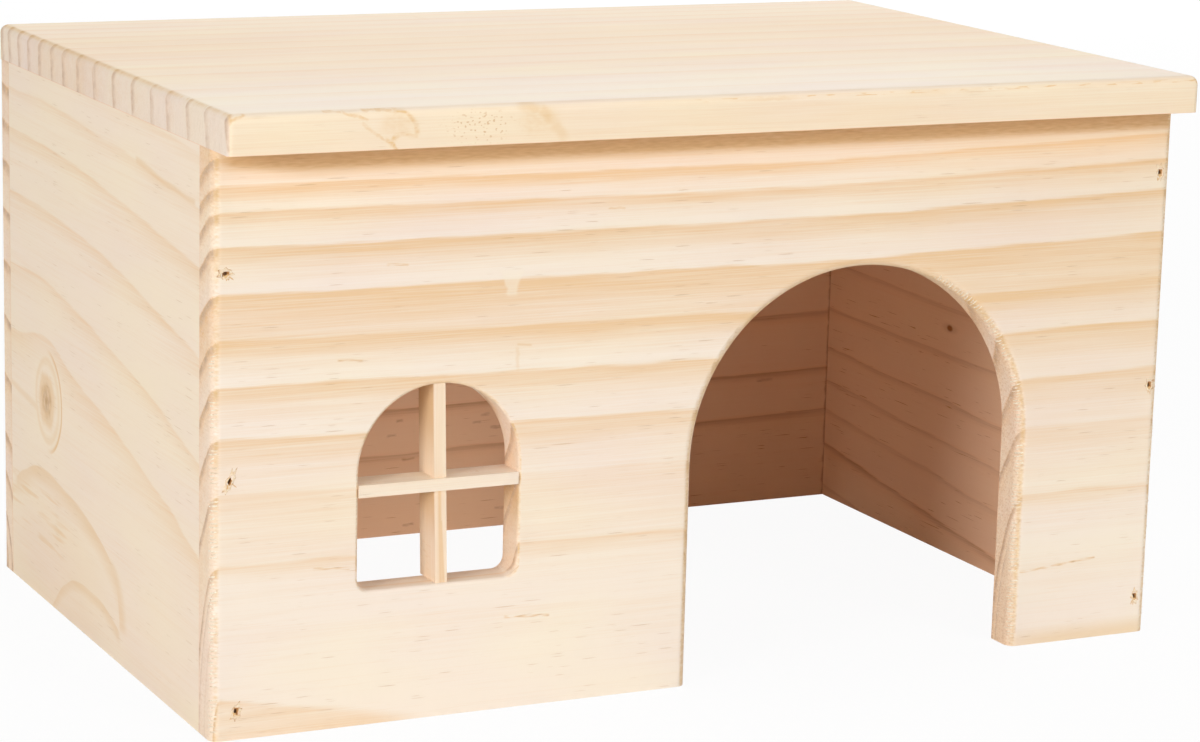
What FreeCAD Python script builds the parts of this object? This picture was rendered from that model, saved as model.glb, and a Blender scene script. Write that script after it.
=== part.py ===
import FreeCAD, Part
import math
import os

# Wooden hamster house: four pine walls nailed at the corners, a pine roof glued on top, an arched
# doorway, and an arched window with a crossed rail and post. It has no floor.
#
# Millimetres, +Z up, the front faces -Y. The origin is on the floor, at the centre of the bounding
# box, which includes the roof's overhang at the front.

# Front panel, from its left side to its right side. Together these make the house's width.
LEFT_PIER = 39.2            # panel to the left of the window
WINDOW_WIDTH = 44.2
MIDDLE_PIER = 50.45         # panel between the window and the doorway
DOOR_WIDTH = 100.9
RIGHT_PIER = 45.25          # panel to the right of the doorway

# Other outside sizes
WALLS_DEPTH = 180.0         # from the front panel's face to the back panel's face
WALL_HEIGHT = 150.0         # from the floor to the underside of the roof
ROOF_OVERHANG = 11.0        # the roof past the front panel's face

# Boards
BOARD_THICKNESS = 9.0       # planed board of all four walls
ROOF_THICKNESS = 10.0
PANEL_ROUND = 2.5           # standing outer edges of the front and back panels
ROOF_TOP_ROUND = 2.4        # top edges of the roof
ROOF_CORNER_ROUND = 1.5     # standing corners of the roof
DOOR_ROUND = 2.75           # front edge of the doorway
WINDOW_ROUND = 1.0          # front edge of the window

# Doorway: straight sides and a half-round top, open to the floor
DOOR_HEADER = 39.25         # panel above the top of the arch

# Window: a sill with small round corners, straight sides and a half-round top
WINDOW_SILL = 35.3          # height of the sill
WINDOW_STRAIGHT = 30.4      # height of the straight sides
WINDOW_CORNER = 3.5         # radius of the sill's corners

# Window bars, ripped from the wall board
BAR_THICKNESS = 3.2
POST_DEPTH = 10.0           # the post stands proud of the panel's inner face
RAIL_RISE = 26.1            # from the sill to the middle of the rail
POST_SETBACK = 1.0          # the post's front behind the rail's front
POST_LEAN = 1.3             # the hand-fitted post's foot, to the right of its head

# Brads: flat wire with a short head and a chisel point, set below the panel's face
BRAD_LENGTH = 25.0
BRAD_WIDTH = 1.25
BRAD_THICKNESS = 1.05
BRAD_HEAD_WIDTH = 1.9
BRAD_HEAD_THICKNESS = 1.25
BRAD_HEAD_HEIGHT = 0.5
BRAD_POINT_LENGTH = 2.0
BRAD_POINT_WIDTH = 0.4
BRAD_SET = 1.0              # from the panel's face to the head

# Where each brad sits, lowest first: its height as a share of the wall's height, how far it wanders
# from the middle of the side wall's thickness as a share of half that thickness (plus is inwards),
# and how far its head is turned from upright, in degrees.
BRADS = {
    "front_left_brads": ((0.05, 0.47, 8.0), (0.447, 0.07, -24.0), (0.796, -0.20, 90.0)),
    "front_right_brads": ((0.07, -0.13, -8.0), (0.479, -0.31, 0.0), (0.879, -0.20, 0.0)),
    "back_left_brads": ((0.09, 0.15, 0.0), (0.50, -0.12, 12.0), (0.86, 0.22, -6.0)),
    "back_right_brads": ((0.08, 0.10, -10.0), (0.52, 0.20, 0.0), (0.84, -0.08, 5.0)),
}

# Everything else follows.
HOUSE_WIDTH = LEFT_PIER + WINDOW_WIDTH + MIDDLE_PIER + DOOR_WIDTH + RIGHT_PIER
HOUSE_DEPTH = WALLS_DEPTH + ROOF_OVERHANG
LEFT = -HOUSE_WIDTH / 2
RIGHT = HOUSE_WIDTH / 2
ROOF_FRONT = -HOUSE_DEPTH / 2
BACK = HOUSE_DEPTH / 2
FRONT = ROOF_FRONT + ROOF_OVERHANG

DOOR_CENTRE = RIGHT - RIGHT_PIER - DOOR_WIDTH / 2
DOOR_SPRING = WALL_HEIGHT - DOOR_HEADER - DOOR_WIDTH / 2
WINDOW_CENTRE = LEFT + LEFT_PIER + WINDOW_WIDTH / 2
WINDOW_SPRING = WINDOW_SILL + WINDOW_STRAIGHT
WINDOW_TOP = WINDOW_SPRING + WINDOW_WIDTH / 2
RAIL_HEIGHT = WINDOW_SILL + RAIL_RISE

PAST = 5.0                  # how far a cutter runs past the faces that it cuts through
NEAR = 0.01                 # tolerance for picking edges by their place


def box(x0, x1, y0, y1, z0, z1):
    """A block from its lowest corner to its highest."""
    return Part.makeBox(x1 - x0, y1 - y0, z1 - z0, FreeCAD.Vector(x0, y0, z0))


def front_point(x, z):
    """A point on the front panel's face."""
    return FreeCAD.Vector(x, FRONT, z)


def through_panel(edges):
    """A closed outline on the front panel's face, as a cutter that runs past both its faces."""
    face = Part.Face(Part.Wire(edges))
    face.translate(FreeCAD.Vector(0, -PAST, 0))
    return face.extrude(FreeCAD.Vector(0, BOARD_THICKNESS + 2 * PAST, 0))


def half_round(centre, radius, spring):
    """The half circle on top of an arched opening, from its right end to its left end."""
    return Part.Arc(
        front_point(centre + radius, spring),
        front_point(centre, spring + radius),
        front_point(centre - radius, spring),
    ).toShape()


def doorway():
    """The doorway's opening, down past the floor."""
    radius = DOOR_WIDTH / 2
    right = DOOR_CENTRE + radius
    left = DOOR_CENTRE - radius
    return through_panel([
        Part.makeLine(front_point(left, -PAST), front_point(right, -PAST)),
        Part.makeLine(front_point(right, -PAST), front_point(right, DOOR_SPRING)),
        half_round(DOOR_CENTRE, radius, DOOR_SPRING),
        Part.makeLine(front_point(left, DOOR_SPRING), front_point(left, -PAST)),
    ])


def window():
    """The window's opening."""
    radius = WINDOW_WIDTH / 2
    right = WINDOW_CENTRE + radius
    left = WINDOW_CENTRE - radius
    corner = WINDOW_CORNER
    bow = corner * (1 - math.sqrt(0.5))
    sill_left = front_point(left + corner, WINDOW_SILL)
    sill_right = front_point(right - corner, WINDOW_SILL)
    side_left = front_point(left, WINDOW_SILL + corner)
    side_right = front_point(right, WINDOW_SILL + corner)
    bow_left = front_point(left + bow, WINDOW_SILL + bow)
    bow_right = front_point(right - bow, WINDOW_SILL + bow)
    return through_panel([
        Part.makeLine(sill_left, sill_right),
        Part.Arc(sill_right, bow_right, side_right).toShape(),
        Part.makeLine(side_right, front_point(right, WINDOW_SPRING)),
        half_round(WINDOW_CENTRE, radius, WINDOW_SPRING),
        Part.makeLine(front_point(left, WINDOW_SPRING), side_left),
        Part.Arc(side_left, bow_left, sill_left).toShape(),
    ])


def is_at(value, place):
    return abs(value - place) < NEAR


def rounded(solid, radius, wanted):
    """The solid with each edge rounded whose bounding box passes the test wanted."""
    return solid.makeFillet(radius, [edge for edge in solid.Edges if wanted(edge.BoundBox)])


def full_panel(face, inner):
    """A full-width panel with its two standing outer edges rounded."""
    panel = box(LEFT, RIGHT, min(face, inner), max(face, inner), 0, WALL_HEIGHT)

    def outer_corner(bounds):
        on_face = is_at(bounds.YMin, face) and is_at(bounds.YMax, face)
        return on_face and is_at(bounds.ZLength, WALL_HEIGHT)

    return rounded(panel, PANEL_ROUND, outer_corner)


def with_opening(panel, opening, centre, width, radius):
    """The front panel with an opening cut through it, whose front edge is rounded."""
    low = centre - width / 2 - NEAR
    high = centre + width / 2 + NEAR

    def front_edge(bounds):
        on_face = is_at(bounds.YMin, FRONT) and is_at(bounds.YMax, FRONT)
        return on_face and bounds.XMin > low and bounds.XMax < high

    return rounded(panel.cut(opening), radius, front_edge)


def front_panel():
    panel = full_panel(FRONT, FRONT + BOARD_THICKNESS)
    panel = with_opening(panel, doorway(), DOOR_CENTRE, DOOR_WIDTH, DOOR_ROUND)
    return with_opening(panel, window(), WINDOW_CENTRE, WINDOW_WIDTH, WINDOW_ROUND)


def back_panel():
    return full_panel(BACK, BACK - BOARD_THICKNESS)


def side_wall(outer, inner):
    """A side wall, held between the front and back panels."""
    return box(
        min(outer, inner), max(outer, inner),
        FRONT + BOARD_THICKNESS, BACK - BOARD_THICKNESS,
        0, WALL_HEIGHT,
    )


def roof_panel():
    top = WALL_HEIGHT + ROOF_THICKNESS
    roof = box(LEFT, RIGHT, ROOF_FRONT, BACK, WALL_HEIGHT, top)
    roof = rounded(roof, ROOF_TOP_ROUND, lambda bounds: bounds.ZMin > top - NEAR)
    straight = ROOF_THICKNESS - ROOF_TOP_ROUND
    return rounded(roof, ROOF_CORNER_ROUND, lambda bounds: is_at(bounds.ZLength, straight))


def window_bars():
    """The rail and the post, cut to the window's outline and half-lapped where they cross."""
    half = BAR_THICKNESS / 2
    rail_back = FRONT + BOARD_THICKNESS
    post_front = FRONT + POST_SETBACK
    post_back = post_front + POST_DEPTH
    lap = (FRONT + rail_back) / 2
    opening = window()
    rail = box(
        WINDOW_CENTRE - WINDOW_WIDTH, WINDOW_CENTRE + WINDOW_WIDTH,
        FRONT, rail_back,
        RAIL_HEIGHT - half, RAIL_HEIGHT + half,
    ).common(opening)
    post = box(
        WINDOW_CENTRE - half, WINDOW_CENTRE + half,
        post_front, post_back,
        WINDOW_SILL - PAST, WINDOW_TOP + PAST,
    )
    lean = math.degrees(math.atan(POST_LEAN / (WINDOW_TOP - WINDOW_SILL)))
    post.rotate(front_point(WINDOW_CENTRE, WINDOW_TOP), FreeCAD.Vector(0, 1, 0), -lean)
    post = post.common(opening)
    behind = box(LEFT, RIGHT, lap, post_back, 0, WALL_HEIGHT)
    rail_cut = post.common(behind)
    post_cut = rail.cut(behind)
    return rail.cut(rail_cut), post.cut(post_cut)


def brad():
    """One brad, head at the origin and pointing along +Y, with its flat upright."""
    neck = BRAD_LENGTH - BRAD_POINT_LENGTH
    half = BRAD_WIDTH / 2
    tip = BRAD_POINT_WIDTH / 2
    side = Part.makePolygon([
        FreeCAD.Vector(0, 0, -half),
        FreeCAD.Vector(0, neck, -half),
        FreeCAD.Vector(0, BRAD_LENGTH, -tip),
        FreeCAD.Vector(0, BRAD_LENGTH, tip),
        FreeCAD.Vector(0, neck, half),
        FreeCAD.Vector(0, 0, half),
        FreeCAD.Vector(0, 0, -half),
    ])
    wire = Part.Face(side).extrude(FreeCAD.Vector(BRAD_THICKNESS, 0, 0))
    wire.translate(FreeCAD.Vector(-BRAD_THICKNESS / 2, 0, 0))
    return wire.fuse(brad_head(0, BRAD_HEAD_HEIGHT)).removeSplitter()


def brad_head(start, end):
    """The head's outline as a block along Y, for the head itself and for the hole above it."""
    return box(
        -BRAD_HEAD_THICKNESS / 2, BRAD_HEAD_THICKNESS / 2,
        start, end,
        -BRAD_HEAD_WIDTH / 2, BRAD_HEAD_WIDTH / 2,
    )


def drive(shape, side, face, place):
    """A brad-shaped piece turned and moved to its place in the corner."""
    height_share, wander, turn = place
    half = BOARD_THICKNESS / 2
    x = LEFT + half + wander * half
    if side == "right":
        x = -x
    driven = shape.copy()
    driven.rotate(FreeCAD.Vector(0, 0, 0), FreeCAD.Vector(0, 1, 0), turn)
    y = FRONT + BRAD_SET
    if face == "back":
        driven.rotate(FreeCAD.Vector(0, 0, 0), FreeCAD.Vector(0, 0, 1), 180)
        y = BACK - BRAD_SET
    driven.translate(FreeCAD.Vector(x, y, height_share * WALL_HEIGHT))
    return driven


def nailed_corners(pieces):
    """Drive every brad, cut its hole in the two boards it joins, and keep each corner's brads."""
    hole_above = brad_head(-BRAD_SET - PAST, 0)
    for name, places in BRADS.items():
        face, side, _ = name.split("_")
        panel = face + "_panel"
        wall = side + "_wall"
        driven = [drive(brad(), side, face, place) for place in places]
        holes = [drive(hole_above, side, face, place) for place in places]
        pieces[panel] = pieces[panel].cut(driven + holes)
        pieces[wall] = pieces[wall].cut(driven)
        pieces[name] = Part.makeCompound(driven)
    return pieces


def house():
    rail, post = window_bars()
    pieces = {
        "front_panel": front_panel(),
        "back_panel": back_panel(),
        "left_wall": side_wall(LEFT, LEFT + BOARD_THICKNESS),
        "right_wall": side_wall(RIGHT, RIGHT - BOARD_THICKNESS),
        "roof_panel": roof_panel(),
        "window_rail": rail,
        "window_post": post,
    }
    return nailed_corners(pieces)


os.makedirs("parts", exist_ok=True)
for node, shape in house().items():
    shape.exportStep("parts/" + node + ".step")
    print(node, len(shape.Solids), "solids", round(shape.Volume, 1), "mm3", shape.isValid())
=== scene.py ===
import math
import random

import bpy
from mathutils import Matrix, Vector


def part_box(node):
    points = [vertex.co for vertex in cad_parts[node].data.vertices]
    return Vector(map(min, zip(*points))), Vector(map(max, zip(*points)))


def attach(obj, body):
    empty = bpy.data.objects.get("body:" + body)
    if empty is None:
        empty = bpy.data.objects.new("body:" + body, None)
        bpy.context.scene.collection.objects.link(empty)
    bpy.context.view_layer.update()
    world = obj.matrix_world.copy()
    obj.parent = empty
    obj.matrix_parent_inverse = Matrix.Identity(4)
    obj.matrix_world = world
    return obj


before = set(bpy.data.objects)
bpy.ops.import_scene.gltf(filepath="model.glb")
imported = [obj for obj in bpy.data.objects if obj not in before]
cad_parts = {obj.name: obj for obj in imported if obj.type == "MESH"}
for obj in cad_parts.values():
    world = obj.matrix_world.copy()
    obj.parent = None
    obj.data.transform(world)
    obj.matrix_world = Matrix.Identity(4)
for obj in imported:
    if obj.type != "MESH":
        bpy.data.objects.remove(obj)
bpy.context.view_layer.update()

MM = 0.001  # one millimetre in the scene's metres


def in_mm(node):
    """The lowest and highest corner of a CAD node, in millimetres."""
    low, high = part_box(node)
    return low / MM, high / MM


# The boards' faces. Places and lengths are in millimetres, apart from the camera's, lamps' and floor's.
FRONT_LOW, FRONT_HIGH = in_mm("front_panel")
BACK_LOW, BACK_HIGH = in_mm("back_panel")
ROOF_LOW = in_mm("roof_panel")[0]
LEFT, RIGHT = FRONT_LOW.x, FRONT_HIGH.x
FRONT, FRONT_INSIDE = FRONT_LOW.y, FRONT_HIGH.y
BACK, BACK_INSIDE = BACK_HIGH.y, BACK_LOW.y
LEFT_INSIDE, RIGHT_INSIDE = in_mm("left_wall")[1].x, in_mm("right_wall")[0].x
WALL_TOP = FRONT_HIGH.z


def add_object(name, data):
    """An object with this data, in the scene."""
    thing = bpy.data.objects.new(name, data)
    bpy.context.scene.collection.objects.link(thing)
    return thing


# ---- camera

CAMERA_PLACE = (-0.42899, -0.89319, 0.28232)
CAMERA_TARGET = (-0.03413, -0.08450, 0.08792)
CAMERA_ROLL = math.radians(1.4756)
CAMERA_LENS = 106.96


def add_camera():
    data = bpy.data.cameras.new("camera")
    data.lens = CAMERA_LENS
    camera = add_object("camera", data)
    aim = Vector(CAMERA_TARGET) - Vector(CAMERA_PLACE)
    turn = aim.to_track_quat("-Z", "Y").to_matrix().to_4x4() @ Matrix.Rotation(CAMERA_ROLL, 4, "Z")
    camera.matrix_world = Matrix.Translation(CAMERA_PLACE) @ turn
    bpy.context.scene.camera = camera


# ---- shader fields

def link(tree, source, target):
    tree.links.new(source, target)


def feed(tree, slot, value):
    """Gives a node's input a field, a socket, a colour or a number."""
    if isinstance(value, Field):
        value = value.socket
    if isinstance(value, bpy.types.NodeSocket):
        link(tree, value, slot)
    else:
        slot.default_value = (*value, 1) if isinstance(value, tuple) else value


def new_material(name):
    """A node material and its tree."""
    material = bpy.data.materials.new(name)
    material.use_nodes = True
    return material, material.node_tree


class Field:
    """A number that varies over a surface, with arithmetic that adds Math nodes to its tree."""

    def __init__(self, tree, socket):
        self.tree = tree
        self.socket = socket

    def apply(self, operation, *others):
        node = self.tree.nodes.new("ShaderNodeMath")
        node.operation = operation
        for slot, value in zip(node.inputs, (self, *others)):
            feed(self.tree, slot, value)
        return Field(self.tree, node.outputs[0])

    def __add__(self, other):
        return self.apply("ADD", other)

    def __sub__(self, other):
        return self.apply("SUBTRACT", other)

    def __rsub__(self, number):
        return self.apply("MULTIPLY_ADD", -1, number)

    def __mul__(self, other):
        return self.apply("MULTIPLY", other)

    def __truediv__(self, other):
        return self.apply("DIVIDE", other)

    def size(self):
        return self.apply("ABSOLUTE")

    def at_least(self, other):
        return self.apply("MAXIMUM", other)

    def plus(self, other, share):
        """This, and a share of another field."""
        return other.apply("MULTIPLY_ADD", share, self)

    def step(self, low, high):
        """A smooth step, 0 below low and 1 above high; low may be the higher of the two."""
        node = self.tree.nodes.new("ShaderNodeMapRange")
        node.interpolation_type = "SMOOTHSTEP"
        ends = (low, high, 0, 1) if low < high else (high, low, 1, 0)
        for name, value in zip(("From Min", "From Max", "To Min", "To Max"), ends):
            node.inputs[name].default_value = value
        link(self.tree, self.socket, node.inputs["Value"])
        return Field(self.tree, node.outputs["Result"])


def strongest(fields):
    """The highest of several marks at each place."""
    highest = fields[0]
    for field in fields[1:]:
        highest = highest.at_least(field)
    return highest


def seen_directly(tree):
    """1 for rays that come straight, by gloss or through glass from the camera, else 0."""
    path = tree.nodes.new("ShaderNodeLightPath")
    rays = ("Is Camera Ray", "Is Glossy Ray", "Is Transmission Ray")
    return strongest([Field(tree, path.outputs[name]) for name in rays])


def mix_shaders(tree, factor, first, second, output):
    """Two shaders mixed by a field, as the tree's result."""
    mix = tree.nodes.new("ShaderNodeMixShader")
    link(tree, factor.socket, mix.inputs[0])
    link(tree, first.outputs[0], mix.inputs[1])
    link(tree, second.outputs[0], mix.inputs[2])
    link(tree, mix.outputs[0], tree.nodes.new(output).inputs[0])


# ---- light and floor

LAMP_DISTANCE = 2
LAMP_AIM = (0, -0.03, 0.07)
# name: (degrees round to the right of the front, degrees up, width, height, watts)
LAMPS = {
    "key_left": (-62, 12, 0.7, 0.7, 22),
    "key_right": (20, 19, 0.7, 1.1, 13.9),
    "side_right": (105, 12, 0.9, 0.9, 7),
    "top": (0, 85, 1.4, 1.4, 18),
    "rear": (156, 13, 1.2, 0.8, 13.5),
}
ROOM_LAMP = (0.12, 0.13, 0.022)  # width, depth and watts of the soft lamp under the roof
ROOM_LAMP_X = -0.07
WHITE = (1, 1, 1, 1)
SKY_STRENGTH = 0.02
FLOOR_SIZE = 8
FLOOR_ALBEDO = 0.9
FLOOR_GLOW = 0.945  # how much of the floor's seen colour is plain white


def add_lamp(name, place, aim, width, height, watts):
    data = bpy.data.lights.new(name, "AREA")
    data.shape = "RECTANGLE"
    data.size = width
    data.size_y = height
    data.energy = watts
    lamp = add_object(name, data)
    lamp.location = place
    lamp.rotation_euler = (Vector(aim) - Vector(place)).to_track_quat("-Z", "Y").to_euler()


def add_lamps():
    for name, (around, up, width, height, watts) in LAMPS.items():
        around, up = math.radians(around), math.radians(up)
        out = Vector((math.sin(around) * math.cos(up), -math.cos(around) * math.cos(up), math.sin(up)))
        add_lamp(name, Vector(LAMP_AIM) + out * LAMP_DISTANCE, LAMP_AIM, width, height, watts)
    under_roof = Vector((ROOM_LAMP_X, 0, (WALL_TOP - 1) * MM))
    add_lamp("room", under_roof, (ROOM_LAMP_X, 0, 0), *ROOM_LAMP)


def add_sky():
    """Faint white light from all round, behind a background that is seen as plain white."""
    world = bpy.data.worlds.new("studio")
    world.use_nodes = True
    bpy.context.scene.world = world
    tree = world.node_tree
    tree.nodes.clear()
    ambient, white = (tree.nodes.new("ShaderNodeBackground") for _ in range(2))
    for node, strength in ((ambient, SKY_STRENGTH), (white, 1)):
        node.inputs["Color"].default_value = WHITE
        node.inputs["Strength"].default_value = strength
    mix_shaders(tree, seen_directly(tree), ambient, white, "ShaderNodeOutputWorld")


def add_floor():
    half = FLOOR_SIZE / 2
    mesh = bpy.data.meshes.new("floor")
    corners = [(-half, -half, 0), (half, -half, 0), (half, half, 0), (-half, half, 0)]
    mesh.from_pydata(corners, [], [(0, 1, 2, 3)])
    floor = add_object("floor", mesh)
    material, tree = new_material("floor_white")
    tree.nodes.clear()
    paper = tree.nodes.new("ShaderNodeBsdfDiffuse")
    paper.inputs["Color"].default_value = (FLOOR_ALBEDO, FLOOR_ALBEDO, FLOOR_ALBEDO, 1)
    glow = tree.nodes.new("ShaderNodeEmission")
    glow.inputs["Color"].default_value = WHITE
    mix_shaders(tree, seen_directly(tree) * FLOOR_GLOW, paper, glow, "ShaderNodeOutputMaterial")
    mesh.materials.append(material)


# ---- pine

GOLD = (0.980, 0.868, 0.705)  # the wood that grows in spring
ROSE = (0.965, 0.838, 0.735)  # the same wood where it is less yellow
TAN = (0.885, 0.620, 0.365)  # the band that it darkens to by autumn
OCHRE = (0.84, 0.58, 0.30)  # sanded round-overs across the grain, and resin streaks
BROWN = (0.40, 0.19, 0.07)  # the hearts of knots, and the darkest marks
CANAL = (0.642, 0.4045, 0.1965)  # resin canals that lie open
TORN = (0.66, 0.42, 0.22)  # pits where the cutter tore the grain
PALE = (0.985, 0.900, 0.760)  # the lips of those pits
STAIN = (0.74, 0.46, 0.21)  # slivers that a brad pulled out of the face
RUST = (0.55, 0.27, 0.09)  # wood stained round a brad
END_LINE = (0.62, 0.42, 0.29)  # a ring's edge on a cut end
INSIDE_LINE = (0.50, 0.25, 0.14)  # and on an unsanded inner face
BRAD_BROWN = (0.10, 0.045, 0.018)
BRAD_GREY = (0.26, 0.16, 0.09)

# Shares that a colour is multiplied by
PLAIN = (1, 1, 1)
END = (0.985, 0.915, 0.855)  # cut ends
ROOF_END = (0.955, 0.910, 0.900)
UNSANDED_AND_SHADE = (1.00, 0.785, 0.620)  # unsanded inner faces, darker and warmer, partly as painted shade
ROOF_TOP_FRONT_TINT = (1.012, 1.035, 1.115)  # the roof's top near its front: paler and less yellow
ROOF_TOP_BACK_TINT = (0.985, 0.950, 0.930)  # the roof's top towards the back: darker
LEFT_TINT = (0.985, 0.945, 0.885)  # some boards, beside the front panel
ROOF_TINT = (1.00, 0.965, 0.870)
BAR_TINT = (1.00, 0.988, 0.980)
POST_TINT = (1.00, 0.930, 0.840)


class Board:
    """One board's figure: places on it in millimetres, and marks that follow its grain."""

    def __init__(self, tree, axes, seed):
        self.tree = tree
        self.seed = seed
        coordinates = tree.nodes.new("ShaderNodeTexCoord")
        order = ["XYZ".index(axis) for axis in axes]
        self.along, self.across, self.deep = self.split(coordinates.outputs["Object"], order, 1 / MM)
        self.normal = self.split(coordinates.outputs["Normal"], order, 1)
        joined = tree.nodes.new("ShaderNodeCombineXYZ")
        for slot, field in zip(joined.inputs, (self.along, self.across, self.deep)):
            link(tree, field.socket, slot)
        self.place = joined.outputs[0]
        # Cut ends, the same with their round-overs, and the round-overs, by how the normal turns
        turned = self.normal[0].size()
        self.end = turned.step(0.46, 0.86)
        self.cut = turned.step(0.05, 0.4)
        self.round_over = turned.step(0.1, 0.5) * (1 - self.end) * self.normal[2].size().step(0.05, 0.35)

    def split(self, vector, order, scale):
        node = self.tree.nodes.new("ShaderNodeSeparateXYZ")
        link(self.tree, vector, node.inputs[0])
        return [Field(self.tree, node.outputs[index]) * scale for index in order]

    def noise(self, length, width, detail, seed, depth=None):
        """Noise from -1 to 1, with features of these sizes along, across and through the board."""
        shift = self.seed + seed
        place = self.tree.nodes.new("ShaderNodeVectorMath")
        place.operation = "MULTIPLY_ADD"
        link(self.tree, self.place, place.inputs[0])
        place.inputs[1].default_value = (1 / length, 1 / width, 1 / (depth or width))
        place.inputs[2].default_value = (shift, shift * 1.7, shift * 2.3)
        node = self.tree.nodes.new("ShaderNodeTexNoise")
        node.inputs["Scale"].default_value = 1
        node.inputs["Detail"].default_value = detail
        link(self.tree, place.outputs[0], node.inputs["Vector"])
        return Field(self.tree, node.outputs[0]) * 2 - 1

    def reach(self, centre, length, width, across=None):
        """How far a place is from an ellipse's centre on the face, with 1 on the ellipse."""
        x = (self.along - centre[0]) / length
        y = ((across or self.across) - centre[1]) / width
        return (x * x + y * y).apply("SQRT")

    def spot(self, centre, length, width, across=None):
        """1 in the middle of an ellipse, fading to 0 at its edge."""
        return self.reach(centre, length, width, across).step(1, 0.4)

    def stroke(self, start, end, width, across=None):
        """1 on the line between two places on the face, fading to 0 at its sides and ends."""
        run, rise = end[0] - start[0], end[1] - start[1]
        length = math.hypot(run, rise)
        x = self.along - (start[0] + end[0]) / 2
        y = (across or self.across) - (start[1] + end[1]) / 2
        on = (x * (run / length)).plus(y, rise / length).size()
        off = (y * (run / length)).plus(x, -rise / length).size()
        return on.step(length / 2 + width / 2, length / 2 - width) * off.step(width, width * 0.15)

    def dashes(self, places, width, across, left=0):
        """Strokes of one width. Places are each one's start and end, along from left and up."""
        return strongest([
            self.stroke((left + start[0], start[1]), (left + end[0], end[1]), width, across)
            for start, end in places
        ])

    def stretch(self, along, across=()):
        """1 on part of the board: the product of smooth steps along and across it."""
        steps = [self.along.step(*ends) for ends in along] + [self.across.step(*ends) for ends in across]
        whole = steps[0]
        for step in steps[1:]:
            whole = whole * step
        return whole

    def trace(self, points, beneath, above, upright, across):
        """1 on a smooth line through places on the face, fading over a distance beneath and above it.

        An upright line runs from low to high, and fades to the right (beneath) and to the left (above).
        """
        run, rise = (across, 0 - self.along) if upright else (self.along, across)
        places = [(z, -x) if upright else (x, z) for x, z in points]
        heights = [height for _, height in places]
        low, span = min(heights), max(heights) - min(heights)
        scaled = [(place, (height - low) / span) for place, height in places]
        first, last = places[0][0], places[-1][0]
        off = rise - (self.curve(run, scaled, first, last, "AUTO") * span + low)
        start = run.step(first - 1, first + 3)
        end = run.step(last + 1, last - 3)
        return off.step(-beneath, 0) * off.step(above, above * 0.2) * start * end

    def curve(self, value, points, low, high, handles="VECTOR"):
        """A line drawn through points (place, value), with values from 0 to 1."""
        node = self.tree.nodes.new("ShaderNodeFloatCurve")
        curve = node.mapping.curves[0]
        scaled = [((place - low) / (high - low), amount) for place, amount in points]
        curve.points[0].location = scaled[0]
        curve.points[-1].location = scaled[-1]
        for place, amount in scaled[1:-1]:
            curve.points.new(place, amount)
        for point in curve.points:
            point.handle_type = handles
        node.mapping.update()
        link(self.tree, ((value - low) / (high - low)).socket, node.inputs["Value"])
        return Field(self.tree, node.outputs["Value"])

    def rings(self, height, rings, fade, soft):
        """How dark the wood is at a height in its growth, and a mark on the ring's edge.

        rings lists each ring's outer edge, and how dark the ring starts and ends. A high fade
        keeps the dark near the edge, and soft is how far it spills into the next ring. The mark
        begins 3.4 mm before the edge, ends 0.6 mm past it, and fades out on faint rings.
        """
        count = len(rings) - 1
        edges = [ring[0] for ring in rings]
        points = [(edge, index / count) for index, edge in enumerate(edges)]
        widest = max(after - before for before, after in zip(edges, edges[1:]))
        number = self.curve(height, points, edges[0], edges[-1]) * float(count)
        number = number.apply("MINIMUM", count - 0.001).at_least(0)
        whole = number.apply("FLOOR")
        share = number - whole
        tones = self.tree.nodes.new("ShaderNodeValToRGB")
        tones.color_ramp.interpolation = "CONSTANT"
        elements = tones.color_ramp.elements
        while len(elements) < count:
            elements.new(1)
        for index in range(count):
            elements[index].position = index / count
            width = (edges[index + 1] - edges[index]) / widest
            elements[index].color = (rings[index + 1][1], rings[index + 1][2], rings[index][2], width)
        link(self.tree, ((whole + 0.5) / float(count)).socket, tones.inputs[0])
        split = self.tree.nodes.new("ShaderNodeSeparateColor")
        link(self.tree, tones.outputs["Color"], split.inputs[0])
        start, finish, before = (Field(self.tree, split.outputs[index]) for index in range(3))
        width = Field(self.tree, tones.outputs["Alpha"]) * widest
        since = share * width
        dark = start + (finish - start) * share.apply("POWER", fade)
        edge = (width - since).step(3.4, 0.3).at_least(since.step(0.6, 0))
        return before + (dark - before) * since.step(0, soft), edge * finish.step(0, 0.28)

    def mix(self, factor, first, second, blend="MIX"):
        """Two colours mixed by a field. A colour is a tuple or a socket."""
        node = self.tree.nodes.new("ShaderNodeMix")
        node.data_type = "RGBA"
        node.blend_type = blend
        for slot, value in (("Factor", factor), (6, first), (7, second)):
            feed(self.tree, node.inputs[slot], value)
        return node.outputs[2]

    def tinted(self, color, tint, factor=1):
        """A colour multiplied by a tint."""
        return self.mix(factor, color, tint, "MULTIPLY")


def stray(board, slow, quick, fine):
    """How far the rings stray from true circles: over the board's length, over a hand, and in fibres."""
    return (
        board.noise(150, 60, 1, 3.1) * slow
        + board.noise(38, 8, 1, 5.3) * quick
        + board.noise(13, 0.5, 2, 7.7) * fine
    )


def ring_height(rise, away, pith):
    """The height at which a place's ring meets the face, which is pith away from the log's centre."""
    return (rise * rise + away * away - pith ** 2).at_least(0).apply("SQRT")


def swelling(board, knot):
    """How far a knot (along, across, radius, how far round it the rings swell) pushes the rings aside."""
    near = board.reach(knot, knot[3], knot[3])
    return (board.across - knot[1]) * 0.55 / (near * near * near * near + 1)


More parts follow.
